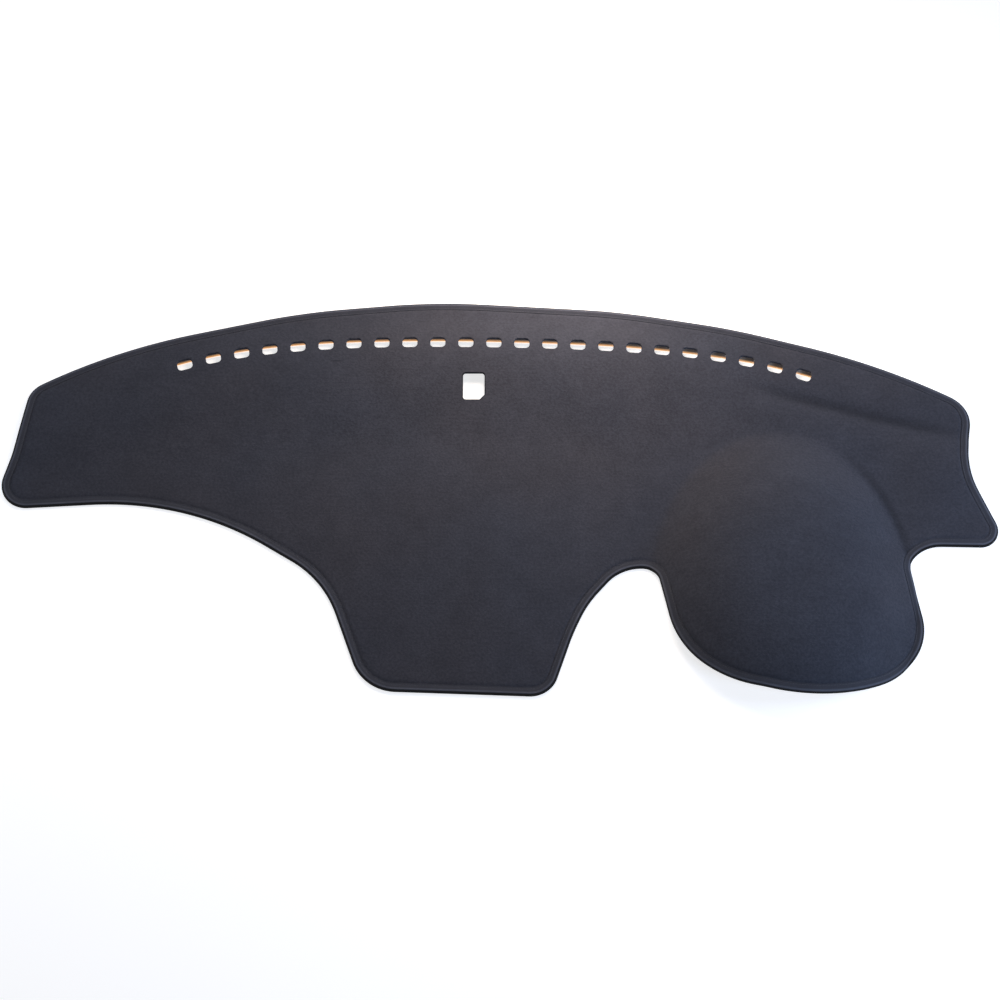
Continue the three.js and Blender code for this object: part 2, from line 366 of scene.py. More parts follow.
# %% Points of the felt sheet
FELT_EDGE = 0.0012
EDGE_ROWS = [FELT_EDGE, 0.008, 0.0105, 0.0114, 0.0121, 0.0128, 0.0138, 0.0155, 0.018, 0.022]
CUT_ROWS = [0.0, 0.0003, 0.0008, 0.0018, 0.004]
FIELD_SPACING = 0.0052
EDGE_CLEARANCE = 0.6 * FIELD_SPACING
CUT_CLEARANCE = 0.5 * FIELD_SPACING


def within(points, ring):
    """True where a point is inside a closed ring of points."""
    inside = np.zeros(len(points), bool)
    ends = np.roll(ring, -1, 0)
    for (ax, ay), (bx, by) in zip(ring, ends):
        if ay == by:
            continue
        crosses = (points[:, 1] > ay) != (points[:, 1] > by)
        at = ax + (points[:, 1] - ay) * (bx - ax) / (by - ay)
        inside ^= crosses & (points[:, 0] < at)
    return inside


flat_points, loops = [], []
for row in EDGE_ROWS:
    loops.append(range(len(flat_points), len(flat_points) + len(outline)))
    flat_points.extend(outline - outward * row)
edge_count = len(flat_points)
for cut, away in openings:
    for row in CUT_ROWS:
        loops.append(range(len(flat_points), len(flat_points) + len(cut)))
        flat_points.extend(cut + away * row)
print(len(loops), "rows with", len(flat_points), "points along the edge and round the openings")

# %% Field of points between the rows
row_height = FIELD_SPACING * math.sqrt(3) / 2
field = []
for j in range(math.ceil(MAT_DEPTH / row_height) + 4):
    y = front - 2 * row_height + j * row_height
    start = left - FIELD_SPACING + (j % 2) * FIELD_SPACING / 2
    columns = math.ceil(MAT_LENGTH / FIELD_SPACING) + 3
    field += [(start + i * FIELD_SPACING, y) for i in range(columns)]
field = np.array(field)
field = field[within(field, outline - outward * (EDGE_ROWS[-1] + EDGE_CLEARANCE))]
for cut, away in openings:
    field = field[~within(field, cut + away * (CUT_ROWS[-1] + CUT_CLEARANCE))]
flat_points.extend(field)
flat_points = np.array(flat_points)
print(len(flat_points), "points in the felt, of which", len(field), "in the field")

# %% Triangulate the felt
JOINED_DISTANCE = 1e-7
LARGEST_OPENING = 0.03
ring_edges = []
for loop in loops:
    ring_edges += [(loop[k], loop[(k + 1) % len(loop)]) for k in range(len(loop))]
vertices_2d = [Vector(p) for p in flat_points]
result = geometry.delaunay_2d_cdt(vertices_2d, ring_edges, [], 0, JOINED_DISTANCE, True)
made_points = np.array([tuple(v) for v in result[0]])
made_faces = np.array(result[2])
source = np.array([origin[0] if origin else -1 for origin in result[3]])
middles = made_points[made_faces].mean(1)
keep = within(middles, outline - outward * FELT_EDGE)
for cut, _ in openings:
    near = np.abs(middles - cut.mean(0)).max(1) < LARGEST_OPENING
    keep[near] &= ~within(middles[near], cut)
made_faces = made_faces[keep]
print(len(made_faces), "triangles a side, new points:", int((source < 0).sum()))

# %% [markdown]
# ## The felt's section
# Where the tape grips the felt, the felt is pinched thin, and just inside the tape it dips
# into a groove that catches a shadow. At a cut opening the edge is slightly rounded, as a
# cutter leaves it. Both are written as a height over the underside for each row of points.

# %% Heights of the felt's two faces
PINCH_INSET = 0.0114
PINCHED_TOP = 0.0026
PINCHED_BOTTOM = 0.0010
GROOVE_INSET = 0.0121
GROOVE_DEPTH = 0.0009
GROOVE_REACH = 0.0040
CUT_ROUNDING = 0.0009
CUT_TOP_SHARE = 0.9
CUT_BOTTOM_SHARE = 0.5
PAINTED_RIM_WIDTH = 0.0016
PAINTED_RIM_DARKNESS = 2.2


def top_at_edge(inset):
    """The height of the felt's top face at a distance inside the outline."""
    if inset <= PINCH_INSET:
        return PINCHED_TOP
    dip = GROOVE_DEPTH * float(bell((inset - GROOVE_INSET) / GROOVE_REACH))
    return SHEET_THICKNESS - dip


def bottom_at_edge(inset):
    """The height of the felt's underside at a distance inside the outline."""
    return PINCHED_BOTTOM if inset <= PINCH_INSET else 0.0


top = np.full(len(flat_points), SHEET_THICKNESS)
bottom = np.zeros(len(flat_points))
for k, row in enumerate(EDGE_ROWS):
    span = slice(k * len(outline), (k + 1) * len(outline))
    top[span] = top_at_edge(row)
    bottom[span] = bottom_at_edge(row)
# the sensor window, last of the openings, gets a dark rim of painted shade round its rounded cut
# edge
painted_rim = np.zeros(len(flat_points))
start = edge_count
for number, (cut, _) in enumerate(openings):
    for row in CUT_ROWS:
        inside = max(CUT_ROUNDING - row, 0)
        drop = CUT_ROUNDING - math.sqrt(CUT_ROUNDING**2 - inside**2)
        span = slice(start, start + len(cut))
        top[span] -= drop * CUT_TOP_SHARE
        bottom[span] += drop * CUT_BOTTOM_SHARE
        if number == VENT_COUNT and row <= PAINTED_RIM_WIDTH:
            painted_rim[span] = PAINTED_RIM_DARKNESS
        start += len(cut)
print("Felt from", round(float((top - bottom).min()), 4), "to", SHEET_THICKNESS, "m thick")

# %% Close the felt into a solid sheet
made_top = np.where(source >= 0, top[source], SHEET_THICKNESS)
made_bottom = np.where(source >= 0, bottom[source], 0.0)
count = len(made_points)
upper = np.column_stack([made_points, made_top])
lower = np.column_stack([made_points, made_bottom])
faces = [tuple(f) for f in made_faces]
faces += [tuple(f[::-1] + count) for f in made_faces]
used = {pair: True for a, b, c in made_faces for pair in ((a, b), (b, c), (c, a))}
rims = [(a, b) for a, b in used if (b, a) not in used]
faces += [(b, a, a + count, b + count) for a, b in rims]
felt_mesh = bpy.data.meshes.new("felt_sheet")
felt_mesh.from_pydata(laid(np.vstack([upper, lower])).tolist(), [], faces)
felt_mesh.shade_smooth()
# the material reads from this how much shade is painted at each point: in the crease, in the valley
# beside the hood and on the window's rim
made_painted_rim = np.where(source >= 0, painted_rim[source], 0.0)
shade_layer = felt_mesh.attributes.new("painted_shade", "FLOAT", "POINT")
shade_layer.data.foreach_set("value", np.tile(painted_shade(*made_points.T) + made_painted_rim, 2))
felt = add_object("felt_sheet", felt_mesh)
print("Felt sheet:", len(felt_mesh.polygons), "faces,", len(rims), "rim edges")

# %% [markdown]
# ## The edge tape
# The tape is one strip folded over the edge. Its section is the same all the way round, so
# it follows a path: Geometry Nodes sweep the folded section along the flat outline, keep how
# far along and across the tape each point is, and set the finish. The section is drawn as a
# fold: a top leg that is pressed down at the seam and swells up beyond it, a rounded nose
# over the cut edge, and a flat leg below.

# %% Section of the folded tape
TAPE_THICKNESS = 0.0007
SEAM_INSET = 0.0101
TAPE_OUTSIDE = [
    (0.0120, 0.0037), (0.0112, 0.0036), (0.0101, 0.0034), (0.0090, 0.0038), (0.0075, 0.0042),
    (0.0060, 0.0045), (0.0046, 0.0048), (0.0034, 0.0048), (0.0023, 0.0045), (0.0014, 0.0039),
    (0.0006, 0.0030), (0.0001, 0.0020), (0.0000, 0.0012), (0.0005, 0.0004), (0.0015, 0.0000),
    (0.0060, 0.0000), (0.0090, 0.0001), (0.0101, 0.0002), (0.0112, 0.0001), (0.0120, 0.0001),
]


def folded_section(outside, thickness):
    """The outside of the fold and, a thickness inside it, its inside, as one closed ring."""
    points = np.array(outside)
    run = np.gradient(points, axis=0)
    inward = np.stack([-run[:, 1], run[:, 0]], 1)
    inward /= np.linalg.norm(inward, axis=1)[:, None]
    inside = points + inward * thickness
    return np.vstack([points, inside[::-1]])


section = folded_section(TAPE_OUTSIDE, TAPE_THICKNESS)
print("Section of the tape:", len(section), "points, from", section.min(0), "to", section.max(0))

# %% [markdown]
# ## Helpers for nodes
# Materials and modifiers are both trees of nodes. One helper adds a node with its values and
# links in a single call. Colours are written as they look on a screen, in hex, and turned
# into the linear values that rendering needs.

# %% Nodes in one line
def add_node(tree, kind, inputs=None, **settings):
    """Adds a node. Its inputs take values, or the outputs of other nodes as links."""
    node = tree.nodes.new(kind)
    for name, value in settings.items():
        setattr(node, name, value)
    for name, value in (inputs or {}).items():
        if isinstance(value, bpy.types.NodeSocket):
            tree.links.new(value, node.inputs[name])
        else:
            node.inputs[name].default_value = value
    return node


def linear(hex_colour):
    """An sRGB colour written in hex, as the linear colour that Blender mixes with."""
    channels = [int(hex_colour[k:k + 2], 16) / 255 for k in (1, 3, 5)]
    channels = [c / 12.92 if c <= 0.04045 else ((c + 0.055) / 1.055) ** 2.4 for c in channels]
    return (*channels, 1.0)


print("Mid grey #808080 is", round(linear("#808080")[0], 4), "in linear values")

# %% [markdown]
# ## Materials
# Felt has no weave. Its look is short fibres pressed flat: blotches from the needling, clumps
# of fibres, fine streaks where the nap was combed across the sheet, a few light specks of
# lint, and a soft sheen at grazing angles. The tape is a plain weave with ribs across it.
# Both are built of noise in real sizes, so they hold up close to and from afar.

# %% Noise in real sizes
def scaled_noise(tree, place, size, stretch=(1, 1, 1), detail=2.0):
    """Noise whose lumps are about a size across, in metres, drawn out along an axis."""
    scale = [1 / (size * s) for s in stretch]
    mapped = add_node(tree, "ShaderNodeMapping", {"Vector": place, "Scale": scale})
    noise = add_node(
        tree, "ShaderNodeTexNoise",
        {"Vector": mapped.outputs["Vector"], "Scale": 1.0, "Detail": detail, "Roughness": 0.6},
    )
    return noise.outputs["Fac"]


def spread(tree, value, low, high, start=0.3, end=0.7):
    """A value's range from start to end, stretched to go from low to high."""
    ranged = add_node(
        tree, "ShaderNodeMapRange",
        {"Value": value, "From Min": start, "From Max": end, "To Min": low, "To Max": high},
    )
    return ranged.outputs["Result"]


def calculated(tree, operation, *values):
    """The values taken together one after another, such as all multiplied."""
    result = values[0]
    for value in values[1:]:
        node = add_node(tree, "ShaderNodeMath", {0: result, 1: value}, operation=operation)
        result = node.outputs[0]
    return result


def shaded(tree, colour, shade):
    """A colour made lighter or darker by a shade round 1."""
    node = add_node(tree, "ShaderNodeVectorMath", {0: colour, "Scale": shade}, operation="SCALE")
    return node.outputs[0]


def mixed(tree, factor, first, second):
    """The first colour where the factor is 0, the second where it is 1."""
    # several inputs of this node share a name, so the colour ones go by number
    node = add_node(tree, "ShaderNodeMix", {0: factor, 6: first, 7: second}, data_type="RGBA")
    return node.outputs[2]


# %% Felt material
FELT_COLOURS = ("#3f3e43", "#3b3d45")
LINT_COLOUR = "#8d8d92"
SHEEN_COLOUR = "#c9cbd6"
MARK_PLACE = (-0.233, 0.203, 0.0)
MARK_SIZE = (0.011, 0.0016, 1.0)
PRESSED_SHADE = 0.62
LINT_CELLS_PER_METRE = 22.0
LINT_SHARE = 0.025


def felt_material():
    """Needled polyester felt, dyed charcoal, with a short combed nap."""
    material = bpy.data.materials.new("needled_polyester_felt")
    material.use_nodes = True
    tree = material.node_tree
    shader = tree.nodes["Principled BSDF"]
    place = add_node(tree, "ShaderNodeTexCoord").outputs["Object"]
    # sizes are real ones, apart from the fibres, which are drawn more than ten times as
    # coarse so that they show at the distance of the picture
    blotches = spread(tree, scaled_noise(tree, place, 0.090), 0.92, 1.08)
    patches = spread(tree, scaled_noise(tree, place, 0.022), 0.95, 1.05)
    clump_noise = scaled_noise(tree, place, 0.0036, detail=1.0)
    streak_noise = scaled_noise(tree, place, 0.0026, (22, 1, 4))
    fibre_noise = scaled_noise(tree, place, 0.0005, (5, 1, 1), detail=3.0)
    clumps = spread(tree, clump_noise, 0.86, 1.14)
    streaks = spread(tree, streak_noise, 0.97, 1.03)
    fibres = spread(tree, fibre_noise, 0.80, 1.20)
    shade = calculated(tree, "MULTIPLY", blotches, patches, clumps, streaks, fibres)
    tint = spread(tree, scaled_noise(tree, place, 0.300), 0.0, 1.0)
    surface_colour = mixed(tree, tint, linear(FELT_COLOURS[0]), linear(FELT_COLOURS[1]))
    # lint: one cell of the pattern in forty holds a light speck
    cells = add_node(
        tree, "ShaderNodeTexVoronoi", {"Vector": place, "Scale": LINT_CELLS_PER_METRE}
    )
    chosen = add_node(tree, "ShaderNodeSeparateColor", {"Color": cells.outputs["Color"]})
    speck = spread(tree, cells.outputs["Distance"], 1.0, 0.0, 0.014, 0.026)
    held = spread(tree, chosen.outputs["Red"], 0.0, 1.0, 1 - LINT_SHARE, 1.001 - LINT_SHARE)
    lint = calculated(tree, "MULTIPLY", speck, held)
    # a short mark where something hard pressed on the nap
    offset = add_node(tree, "ShaderNodeVectorMath", {0: place, 1: MARK_PLACE}, operation="SUBTRACT")
    scaled = add_node(
        tree, "ShaderNodeVectorMath", {0: offset.outputs[0], 1: MARK_SIZE}, operation="DIVIDE"
    )
    reach = add_node(tree, "ShaderNodeVectorMath", {0: scaled.outputs[0]}, operation="LENGTH")
    mark = spread(tree, reach.outputs["Value"], 1.0, 0.0, 0.4, 1.0)
    # painted shade darkens the crease and the valley, and the window's rim, with values over 2, is
    # painted nearly black
    shade_amount = add_node(tree, "ShaderNodeAttribute", attribute_name="painted_shade").outputs["Fac"]
    marked = calculated(
        tree, "MULTIPLY", shade, spread(tree, mark, 1.0, PRESSED_SHADE, 0.0, 1.0),
        spread(tree, shade_amount, 1.0, 0.05, 0.0, 2.5),
    )
    colour = mixed(tree, lint, shaded(tree, surface_colour, marked), linear(LINT_COLOUR))
    tree.links.new(colour, shader.inputs["Base Color"])
    shader.inputs["Roughness"].default_value = 0.95
    shader.inputs["Specular IOR Level"].default_value = 0.12
    shader.inputs["Sheen Weight"].default_value = 0.18
    shader.inputs["Sheen Roughness"].default_value = 0.6
    shader.inputs["Sheen Tint"].default_value = linear(SHEEN_COLOUR)
    heights = calculated(
        tree, "ADD", spread(tree, fibre_noise, 0.0, 0.35), spread(tree, clump_noise, 0.0, 0.8),
        spread(tree, streak_noise, 0.0, 0.35), spread(tree, mark, 0.0, -1.5, 0.0, 1.0),
    )
    bump = add_node(
        tree, "ShaderNodeBump", {"Height": heights, "Strength": 0.55, "Distance": 0.0004}
    )
    tree.links.new(bump.outputs["Normal"], shader.inputs["Normal"])
    return material


felt_mesh.materials.append(felt_material())
print("Felt material:", len(felt_mesh.materials[0].node_tree.nodes), "nodes")

# %% [markdown]
# The tape and its thread are polyester too, woven and twisted instead of needled. The tape's
# pattern runs along and across the strip, so it follows the fold round every corner. Over its
# width the tape's own colour on the top leg gives way to a painted highlight on the roll and
# painted shade on the nose.

# %% Tape and thread materials
TAPE_COLOUR = "#3c3d44"
# a painted highlight for the roll's crest and painted shade for its outer side
PAINTED_HIGHLIGHT_COLOUR = "#5a5c65"
PAINTED_SHADE_COLOUR = "#070709"
THREAD_COLOUR = "#3b3c43"
PAINTED_HIGHLIGHT_STARTS = (0.0060, 0.0078)
PAINTED_SHADE_STARTS = (0.0086, 0.0099)
# such a tape has threads roughly 0.5 mm apart, and these are drawn coarser so that they show
WEFT_PITCH = 0.0009
WARP_PITCH = 0.0008


def woven_tape_material():
    """Plain-woven polyester tape, dyed in the piece: warp along it, crossed by the weft."""
    material = bpy.data.materials.new("woven_polyester_tape")
    material.use_nodes = True
    tree = material.node_tree
    shader = tree.nodes["Principled BSDF"]
    along = add_node(tree, "ShaderNodeAttribute", attribute_name="along").outputs["Fac"]
    across = add_node(tree, "ShaderNodeAttribute", attribute_name="across").outputs["Fac"]
    ribs = []
    for distance, pitch in ((along, WEFT_PITCH), (across, WARP_PITCH)):
        angle = calculated(tree, "MULTIPLY", distance, math.tau / pitch)
        wave = add_node(tree, "ShaderNodeMath", {0: angle}, operation="SINE").outputs[0]
        ribs.append(wave)
    # the weave's threads pass over and under each other, so the two waves multiply
    weave = calculated(tree, "MULTIPLY", *ribs)
    place = add_node(tree, "ShaderNodeTexCoord").outputs["Object"]
    wear = spread(tree, scaled_noise(tree, place, 0.030), 0.93, 1.07)
    fuzz = spread(tree, scaled_noise(tree, place, 0.0006, detail=3.0), 0.88, 1.12)
    threads = spread(tree, weave, 0.86, 1.12, -1.0, 1.0)
    shade = calculated(tree, "MULTIPLY", wear, fuzz, threads)
    # a highlight is painted on the crest of the roll, and shade is painted on its outer side
    painted_highlight_share = spread(tree, across, 0.0, 1.0, *PAINTED_HIGHLIGHT_STARTS)
    painted_shade_share = spread(tree, across, 0.0, 1.0, *PAINTED_SHADE_STARTS)
    with_painted_highlight = mixed(tree, painted_highlight_share, linear(TAPE_COLOUR), linear(PAINTED_HIGHLIGHT_COLOUR))
    surface_colour = mixed(tree, painted_shade_share, with_painted_highlight, linear(PAINTED_SHADE_COLOUR))
    tree.links.new(shaded(tree, surface_colour, shade), shader.inputs["Base Color"])
    shader.inputs["Roughness"].default_value = 0.85
    shader.inputs["Specular IOR Level"].default_value = 0.2
    shader.inputs["Sheen Weight"].default_value = 0.04
    shader.inputs["Sheen Roughness"].default_value = 0.5
    bump = add_node(
        tree, "ShaderNodeBump", {"Height": weave, "Strength": 0.5, "Distance": 0.00015}
    )
    tree.links.new(bump.outputs["Normal"], shader.inputs["Normal"])
    return material


def thread_material():
    """Twisted polyester sewing thread, a little shinier than the tape."""
    material = bpy.data.materials.new("polyester_sewing_thread")
    material.use_nodes = True
    tree = material.node_tree
    shader = tree.nodes["Principled BSDF"]
    place = add_node(tree, "ShaderNodeTexCoord").outputs["Object"]
    ply = spread(tree, scaled_noise(tree, place, 0.0004, (1, 3, 1)), 0.85, 1.15)
    tree.links.new(shaded(tree, linear(THREAD_COLOUR)[:3], ply), shader.inputs["Base Color"])
    shader.inputs["Roughness"].default_value = 0.55
    bump = add_node(tree, "ShaderNodeBump", {"Height": ply, "Strength": 0.4, "Distance": 0.0001})
    tree.links.new(bump.outputs["Normal"], shader.inputs["Normal"])
    return material


tape_finish = woven_tape_material()
thread_finish = thread_material()
print("Finishes:", tape_finish.name, "and", thread_finish.name)

# %% [markdown]
# ## Sweeping the tape and sewing the seam
# Both follow the edge, so both are Geometry Nodes trees over one closed flat path. The first
# sweeps the section of the fold. The second sets a stitch at an even pitch, turned to the
# path, with a little seeded unevenness. Their named inputs are the sizes a maker would set.

# %% Flat paths for the nodes
def closed_path(name, points, height=0.0):
    """A closed line through flat points, as a curve object."""
    data = bpy.data.curves.new(name, "CURVE")
    data.dimensions = "3D"
    spline = data.splines.new("POLY")
    spline.points.add(len(points) - 1)
    for target, (x, y) in zip(spline.points, points):
        target.co = (x, y, height, 1)
    spline.use_cyclic_u = True
    return add_object(name, data)


def node_tree(name, inputs):
    """An empty Geometry Nodes tree with geometry in and out, and the named inputs."""
    tree = bpy.data.node_groups.new(name, "GeometryNodeTree")
    tree.interface.new_socket("Geometry", in_out="INPUT", socket_type="NodeSocketGeometry")
    tree.interface.new_socket("Geometry", in_out="OUTPUT", socket_type="NodeSocketGeometry")
    for label, kind in inputs.items():
        tree.interface.new_socket(label, in_out="INPUT", socket_type=kind)
    return tree, add_node(tree, "NodeGroupInput").outputs


def grown(name, path, tree, values):
    """The mesh that a tree makes of a path, as a plain object laid on the form."""
    modifier = path.modifiers.new(tree.name, "NODES")
    modifier.node_group = tree
    for item in tree.interface.items_tree:
        if item.name in values:
            modifier[item.identifier] = values[item.name]
    evaluated = path.evaluated_get(bpy.context.evaluated_depsgraph_get())
    mesh = bpy.data.meshes.new_from_object(evaluated)
    mesh.name = name
    path.modifiers.remove(modifier)
    bpy.data.objects.remove(path)
    lay_mesh(mesh)
    return add_object(name, mesh)


# %% Sweep the tape
def tape_tree():
    """Sweeps a folded section along a path and keeps both distances on the tape."""
    tree, given = node_tree(
        "fold_tape", {"Section": "NodeSocketObject", "Finish": "NodeSocketMaterial"}
    )
    flat = add_node(tree, "GeometryNodeSetCurveNormal", {"Curve": given["Geometry"]}, mode="Z_UP")
    shape = add_node(tree, "GeometryNodeObjectInfo", {"Object": given["Section"]})
    curves = []
    for curve, label in ((flat.outputs["Curve"], "along"), (shape.outputs["Geometry"], "across")):
        length = add_node(tree, "GeometryNodeSplineParameter").outputs["Length"]
        kept = add_node(
            tree, "GeometryNodeStoreNamedAttribute",
            {"Geometry": curve, "Name": label, "Value": length}, domain="POINT",
        )
        curves.append(kept.outputs["Geometry"])
    swept = add_node(
        tree, "GeometryNodeCurveToMesh", {"Curve": curves[0], "Profile Curve": curves[1]}
    )
    smooth = add_node(tree, "GeometryNodeSetShadeSmooth", {"Geometry": swept.outputs["Mesh"]})
    real = add_node(tree, "GeometryNodeRealizeInstances", {"Geometry": smooth.outputs[0]})
    finished = add_node(
        tree, "GeometryNodeSetMaterial",
        {"Geometry": real.outputs[0], "Material": given["Finish"]},
    )
    add_node(tree, "NodeGroupOutput", {"Geometry": finished.outputs[0]})
    return tree


# on a path that runs anticlockwise, the section's x points outward and its y points down
section_path = closed_path("tape_section", section * (-1, -1))
tape = grown(
    "edge_tape", closed_path("tape_path", outline), tape_tree(),
    {"Section": section_path, "Finish": tape_finish},
)
bpy.data.objects.remove(section_path)
print("Tape:", len(tape.data.polygons), "faces,", [round(v, 3) for v in tape.dimensions])

# %% Sew the seam
STITCH_PITCH = 0.0040
STITCH_LENGTH = 0.0033
THREAD_RADIUS = 0.00024
SEAM_TOP = 0.0034
STITCH_SEED = 7
SMALLEST_STITCH = (0.94, 0.9, 0.9)
LARGEST_STITCH = (1.06, 1.1, 1.1)


def seam_tree():
    """Sets stitches along a path: each a short bow of thread that dips in at both ends."""
    tree, given = node_tree(
        "sew_seam",
        {"Stitches": "NodeSocketInt", "Length": "NodeSocketFloat", "Bow": "NodeSocketFloat",
         "Thread": "NodeSocketFloat", "Seed": "NodeSocketInt", "Finish": "NodeSocketMaterial"},
    )
    half = calculated(tree, "MULTIPLY", given["Length"], 0.5)
    back = calculated(tree, "MULTIPLY", given["Length"], -0.5)
    dip = calculated(tree, "MULTIPLY", given["Bow"], -1.0)
    start = add_node(tree, "ShaderNodeCombineXYZ", {"X": back, "Z": dip})
    middle = add_node(tree, "ShaderNodeCombineXYZ", {"Z": given["Bow"]})
    end = add_node(tree, "ShaderNodeCombineXYZ", {"X": half, "Z": dip})
    bow = add_node(
        tree, "GeometryNodeCurveQuadraticBezier",
        {"Resolution": 8, "Start": start.outputs[0], "Middle": middle.outputs[0],
         "End": end.outputs[0]},
    )
    round_section = add_node(
        tree, "GeometryNodeCurvePrimitiveCircle", {"Resolution": 6, "Radius": given["Thread"]}
    )
    stitch = add_node(
        tree, "GeometryNodeCurveToMesh",
        {"Curve": bow.outputs[0], "Profile Curve": round_section.outputs[0], "Fill Caps": True},
    )
    points = add_node(
        tree, "GeometryNodeCurveToPoints",
        {"Curve": given["Geometry"], "Count": given["Stitches"]}, mode="COUNT",
    )
    turn = add_node(
        tree, "FunctionNodeAlignRotationToVector", {"Vector": points.outputs["Tangent"]}, axis="X"
    )
    uneven = add_node(
        tree, "FunctionNodeRandomValue",
        {"Min": SMALLEST_STITCH, "Max": LARGEST_STITCH, "Seed": given["Seed"]},
        data_type="FLOAT_VECTOR",
    )
    sewn = add_node(
        tree, "GeometryNodeInstanceOnPoints",
        {"Points": points.outputs["Points"], "Instance": stitch.outputs["Mesh"],
         "Rotation": turn.outputs[0], "Scale": uneven.outputs["Value"]},
    )
    real = add_node(tree, "GeometryNodeRealizeInstances", {"Geometry": sewn.outputs[0]})
    smooth = add_node(tree, "GeometryNodeSetShadeSmooth", {"Geometry": real.outputs[0]})
    finished = add_node(
        tree, "GeometryNodeSetMaterial",
        {"Geometry": smooth.outputs[0], "Material": given["Finish"]},
    )
    add_node(tree, "NodeGroupOutput", {"Geometry": finished.outputs[0]})
    return tree


seam_path = closed_path("seam_path", outline - outward * SEAM_INSET, SEAM_TOP)
thread = grown(
    "seam_thread", seam_path, seam_tree(),
    {"Stitches": round(outline_length / STITCH_PITCH), "Length": STITCH_LENGTH,
     "Bow": THREAD_RADIUS, "Thread": THREAD_RADIUS, "Seed": STITCH_SEED, "Finish": thread_finish},
)
print("Thread:", len(thread.data.polygons), "faces,", [round(v, 3) for v in thread.dimensions])

# %% [markdown]
# ## Fixing the pieces to the frame
# The felt and the tape stand for the two solids, and ride with the mat's one body, and so
# does the thread.

for piece in (felt, tape, thread):
    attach(piece, "root")
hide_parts("mat_panel")
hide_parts("edge_binding")

# %% [markdown]
# ## The floor
# The photograph is a studio shot on white. The floor glows for the camera alone, so it comes
# out white where light falls on it and keeps the mat's shadow. In the picture each slot is
# white at its front and dark, with a warm rim, at its back, where the raised felt shades the
# ground. A strip of card under the slots paints that look: its glow is a painted shadow, with
# a painted warm rim of light along its front edge. It belongs to the stage.

# %% Floor and backdrop
PAPER_COLOUR = (0.82, 0.82, 0.82, 1)
FLOOR_GLOW = 0.75
FLOOR_REACH = 6
FLOOR_HEIGHT = -0.0015
CARD_HEIGHT = -0.0008
# the front side of the card, behind the line of the slots, at some places along it
CARD_FRONT = ((-0.46, 0.0095), (-0.05, 0.0120), (0.15, 0.0100), (0.32, 0.0060))
CARD_FADE = 0.0040
CARD_REAR = 0.026
CARD_STEPS = 60
CARD_COLOUR = "#fff3e4"
# a painted shadow and a painted warm rim of light, glowing from the card under the slots
SHADOW_COLOUR = "#35302e"
PAINTED_LIGHT_COLOUR = "#f0b070"


def background_share(tree):
    """1 for rays from the camera, also by way of a mirror or through glass, and else 0."""
    rays = add_node(tree, "ShaderNodeLightPath").outputs
    seen = ("Is Camera Ray", "Is Glossy Ray", "Is Transmission Ray")
    return calculated(tree, "MAXIMUM", *[rays[name] for name in seen])


def floor_material(glow):
    """White seamless paper. To the camera it glows, so that it comes out white when lit."""
    material = bpy.data.materials.new("white_background_paper")
    material.use_nodes = True
    tree = material.node_tree
    shader = tree.nodes["Principled BSDF"]
    shader.inputs["Base Color"].default_value = PAPER_COLOUR
    shader.inputs["Roughness"].default_value = 0.9
    strength = calculated(tree, "MULTIPLY", background_share(tree), glow)
    tree.links.new(strength, shader.inputs["Emission Strength"])
    shader.inputs["Emission Color"].default_value = (1, 1, 1, 1)
    return material


def painted_shadow_card_material():
    """Cream card. Its glow is painted: a shadow under the felt, and a warm rim of light at its
    front edge.
    """
    card = bpy.data.materials.new("painted_shadow_card")
    card.use_nodes = True
    tree = card.node_tree
    shader = tree.nodes["Principled BSDF"]
    shader.inputs["Base Color"].default_value = linear(CARD_COLOUR)
    edge = add_node(tree, "ShaderNodeAttribute", attribute_name="front_edge").outputs["Fac"]
    glow = mixed(tree, edge, linear(SHADOW_COLOUR), linear(PAINTED_LIGHT_COLOUR))
    tree.links.new(glow, shader.inputs["Emission Color"])
    # the glow paints a shadow behind and a warm rim of light at the front edge
    shader.inputs["Emission Strength"].default_value = 1.0
    return card


def square_floor():
    """A level square round the origin."""
    r = FLOOR_REACH
    corners = [(x, y, FLOOR_HEIGHT) for x, y in ((-r, -r), (r, -r), (r, r), (-r, r))]
    mesh = bpy.data.meshes.new("floor")
    mesh.from_pydata(corners, [], [(0, 1, 2, 3)])
    mesh.materials.append(floor_material(FLOOR_GLOW))
    return add_object("floor", mesh)


def slot_card():
    """A strip of card on the floor under the slots, whose glow paints the shadow there. Only its
    front edge is bright, with painted light.
    """
    first, last = openings[0][0].mean(0)[0], openings[VENT_COUNT - 1][0].mean(0)[0]
    across = np.linspace(first - VENT_PITCH, last + VENT_PITCH, CARD_STEPS)
    front_side = np.interp(across, *zip(*CARD_FRONT))
    sides = (front_side, front_side + CARD_FADE, np.full(CARD_STEPS, CARD_REAR))
    rows = [(x, vent_line(x) + y, CARD_HEIGHT) for side in sides for x, y in zip(across, side)]
    faces = [
        (k, k + 1, k + 1 + CARD_STEPS, k + CARD_STEPS)
        for k in range(2 * CARD_STEPS - 1) if k != CARD_STEPS - 1
    ]
    mesh = bpy.data.meshes.new("slot_card")
    mesh.from_pydata(rows, [], faces)
    shown = mesh.attributes.new("front_edge", "FLOAT", "POINT")
    shown.data.foreach_set("value", [1.0] * CARD_STEPS + [0.0] * (2 * CARD_STEPS))
    mesh.materials.append(painted_shadow_card_material())
    return add_object("slot_card", mesh)


floor = square_floor()
card = slot_card()
print("Stage:", floor.name, "and", card.name)

# %% [markdown]
# ## The camera
# The mat is seen from above and in front. The camera's angle is judged from the proportions
# of the slots and of the window. The lens is a choice, and the distance follows from it and
# from how much of the picture the mat fills.

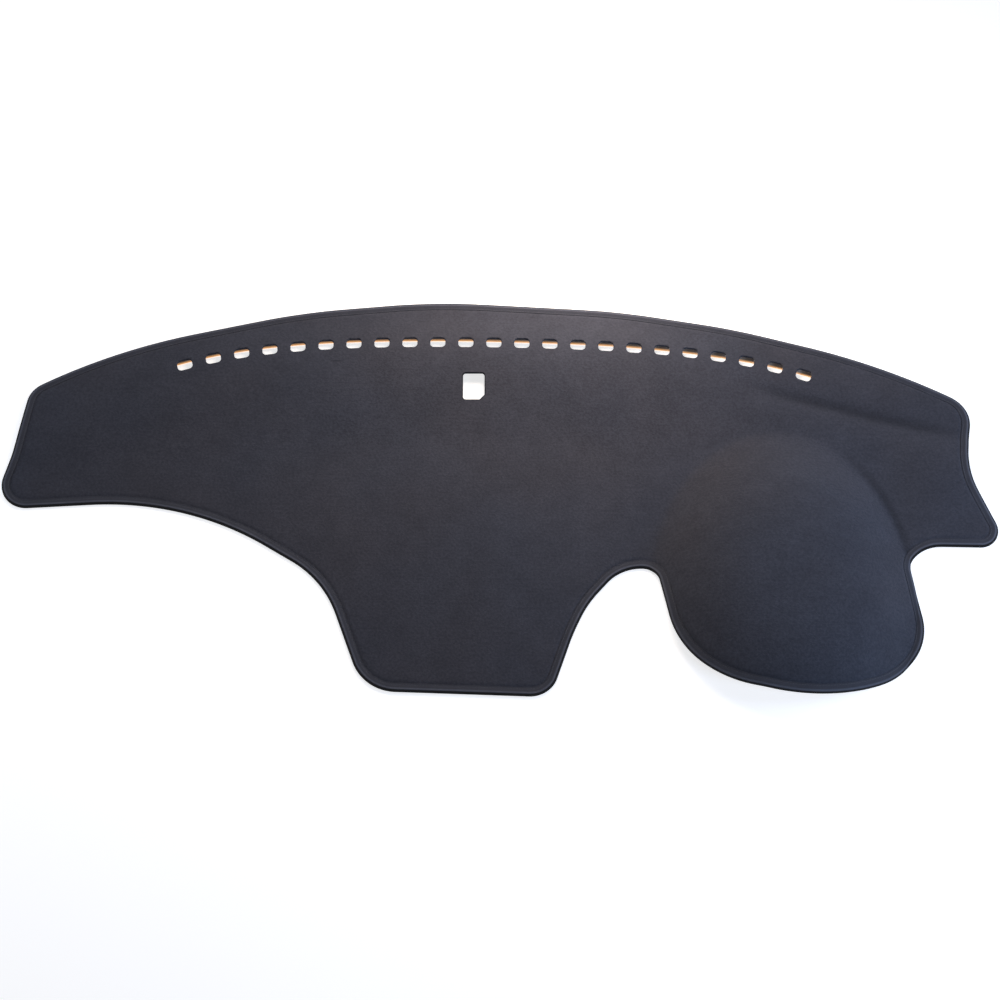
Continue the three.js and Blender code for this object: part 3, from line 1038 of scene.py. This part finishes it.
# %% Camera
CAMERA_LENS = 66
CAMERA_ELEVATION = 65
CAMERA_DISTANCE = 2.590
CAMERA_TARGET = Vector((0.0042, -0.0116, 0.0))
camera_data = bpy.data.cameras.new("camera")
camera_data.lens = CAMERA_LENS
camera_data.sensor_width = 36
camera = bpy.data.objects.new("camera", camera_data)
bpy.context.scene.collection.objects.link(camera)
tilt = math.radians(90 - CAMERA_ELEVATION)
back = Vector((0, -math.sin(tilt), math.cos(tilt)))
camera.location = CAMERA_TARGET + back * CAMERA_DISTANCE
camera.rotation_euler = (tilt, 0, 0)
bpy.context.scene.camera = camera
print("Camera at", [round(c, 3) for c in camera.location])

# %% [markdown]
# ## The lights
# The light in the photograph is soft and warm over the rear middle, and cooler and bluer from
# the front and the right. Each softbox is an area light, at a level at which the felt comes
# out about as dark as its colour is written. The world is white for the camera and gives
# next to no light itself.

# %% Lights and world
def soft_light(name, place, aim, size, power, colour):
    """A softbox: an area light at a place, facing an aim."""
    data = bpy.data.lights.new(name, "AREA")
    data.shape = "RECTANGLE"
    data.size, data.size_y = size
    data.energy = power
    data.color = linear(colour)[:3]
    lamp = bpy.data.objects.new(name, data)
    lamp.location = place
    lamp.rotation_euler = (Vector(aim) - Vector(place)).to_track_quat("-Z", "Y").to_euler()
    bpy.context.scene.collection.objects.link(lamp)


WORLD_FILL = 0.0015
WARM = "#ffeee2"
COOL = "#c6dcff"
NEUTRAL = "#dfeaff"
soft_light("overhead_softbox", (0.08, 0.45, 0.70), (0.04, 0.20, 0), (0.4, 0.3), 4.0, WARM)
soft_light("rear_centre_softbox", (0.13, 0.47, 0.22), (0.10, 0.24, 0), (0.3, 0.1), 1.4, WARM)
soft_light("rear_left_softbox", (-0.90, 1.00, 0.80), (0, 0, 0), (0.6, 0.4), 3.5, NEUTRAL)
soft_light("left_softbox", (-1.50, 0.00, 0.70), (-0.20, 0, 0), (0.5, 0.4), 2.7, NEUTRAL)
soft_light("right_softbox", (1.50, -0.10, 0.60), (0.30, -0.10, 0), (0.5, 0.4), 9.6, COOL)
soft_light("front_softbox", (1.30, -0.90, 0.90), (0.30, -0.10, 0), (0.5, 0.5), 7.2, COOL)

world = bpy.data.worlds.new("studio")
bpy.context.scene.world = world
world.use_nodes = True
background = world.node_tree.nodes["Background"]
background.inputs["Color"].default_value = (1, 1, 1, 1)
brightness = spread(
    world.node_tree, background_share(world.node_tree), WORLD_FILL, 1.0, 0.0, 1.0
)
world.node_tree.links.new(brightness, background.inputs["Strength"])
bpy.context.scene.view_settings.view_transform = "Standard"
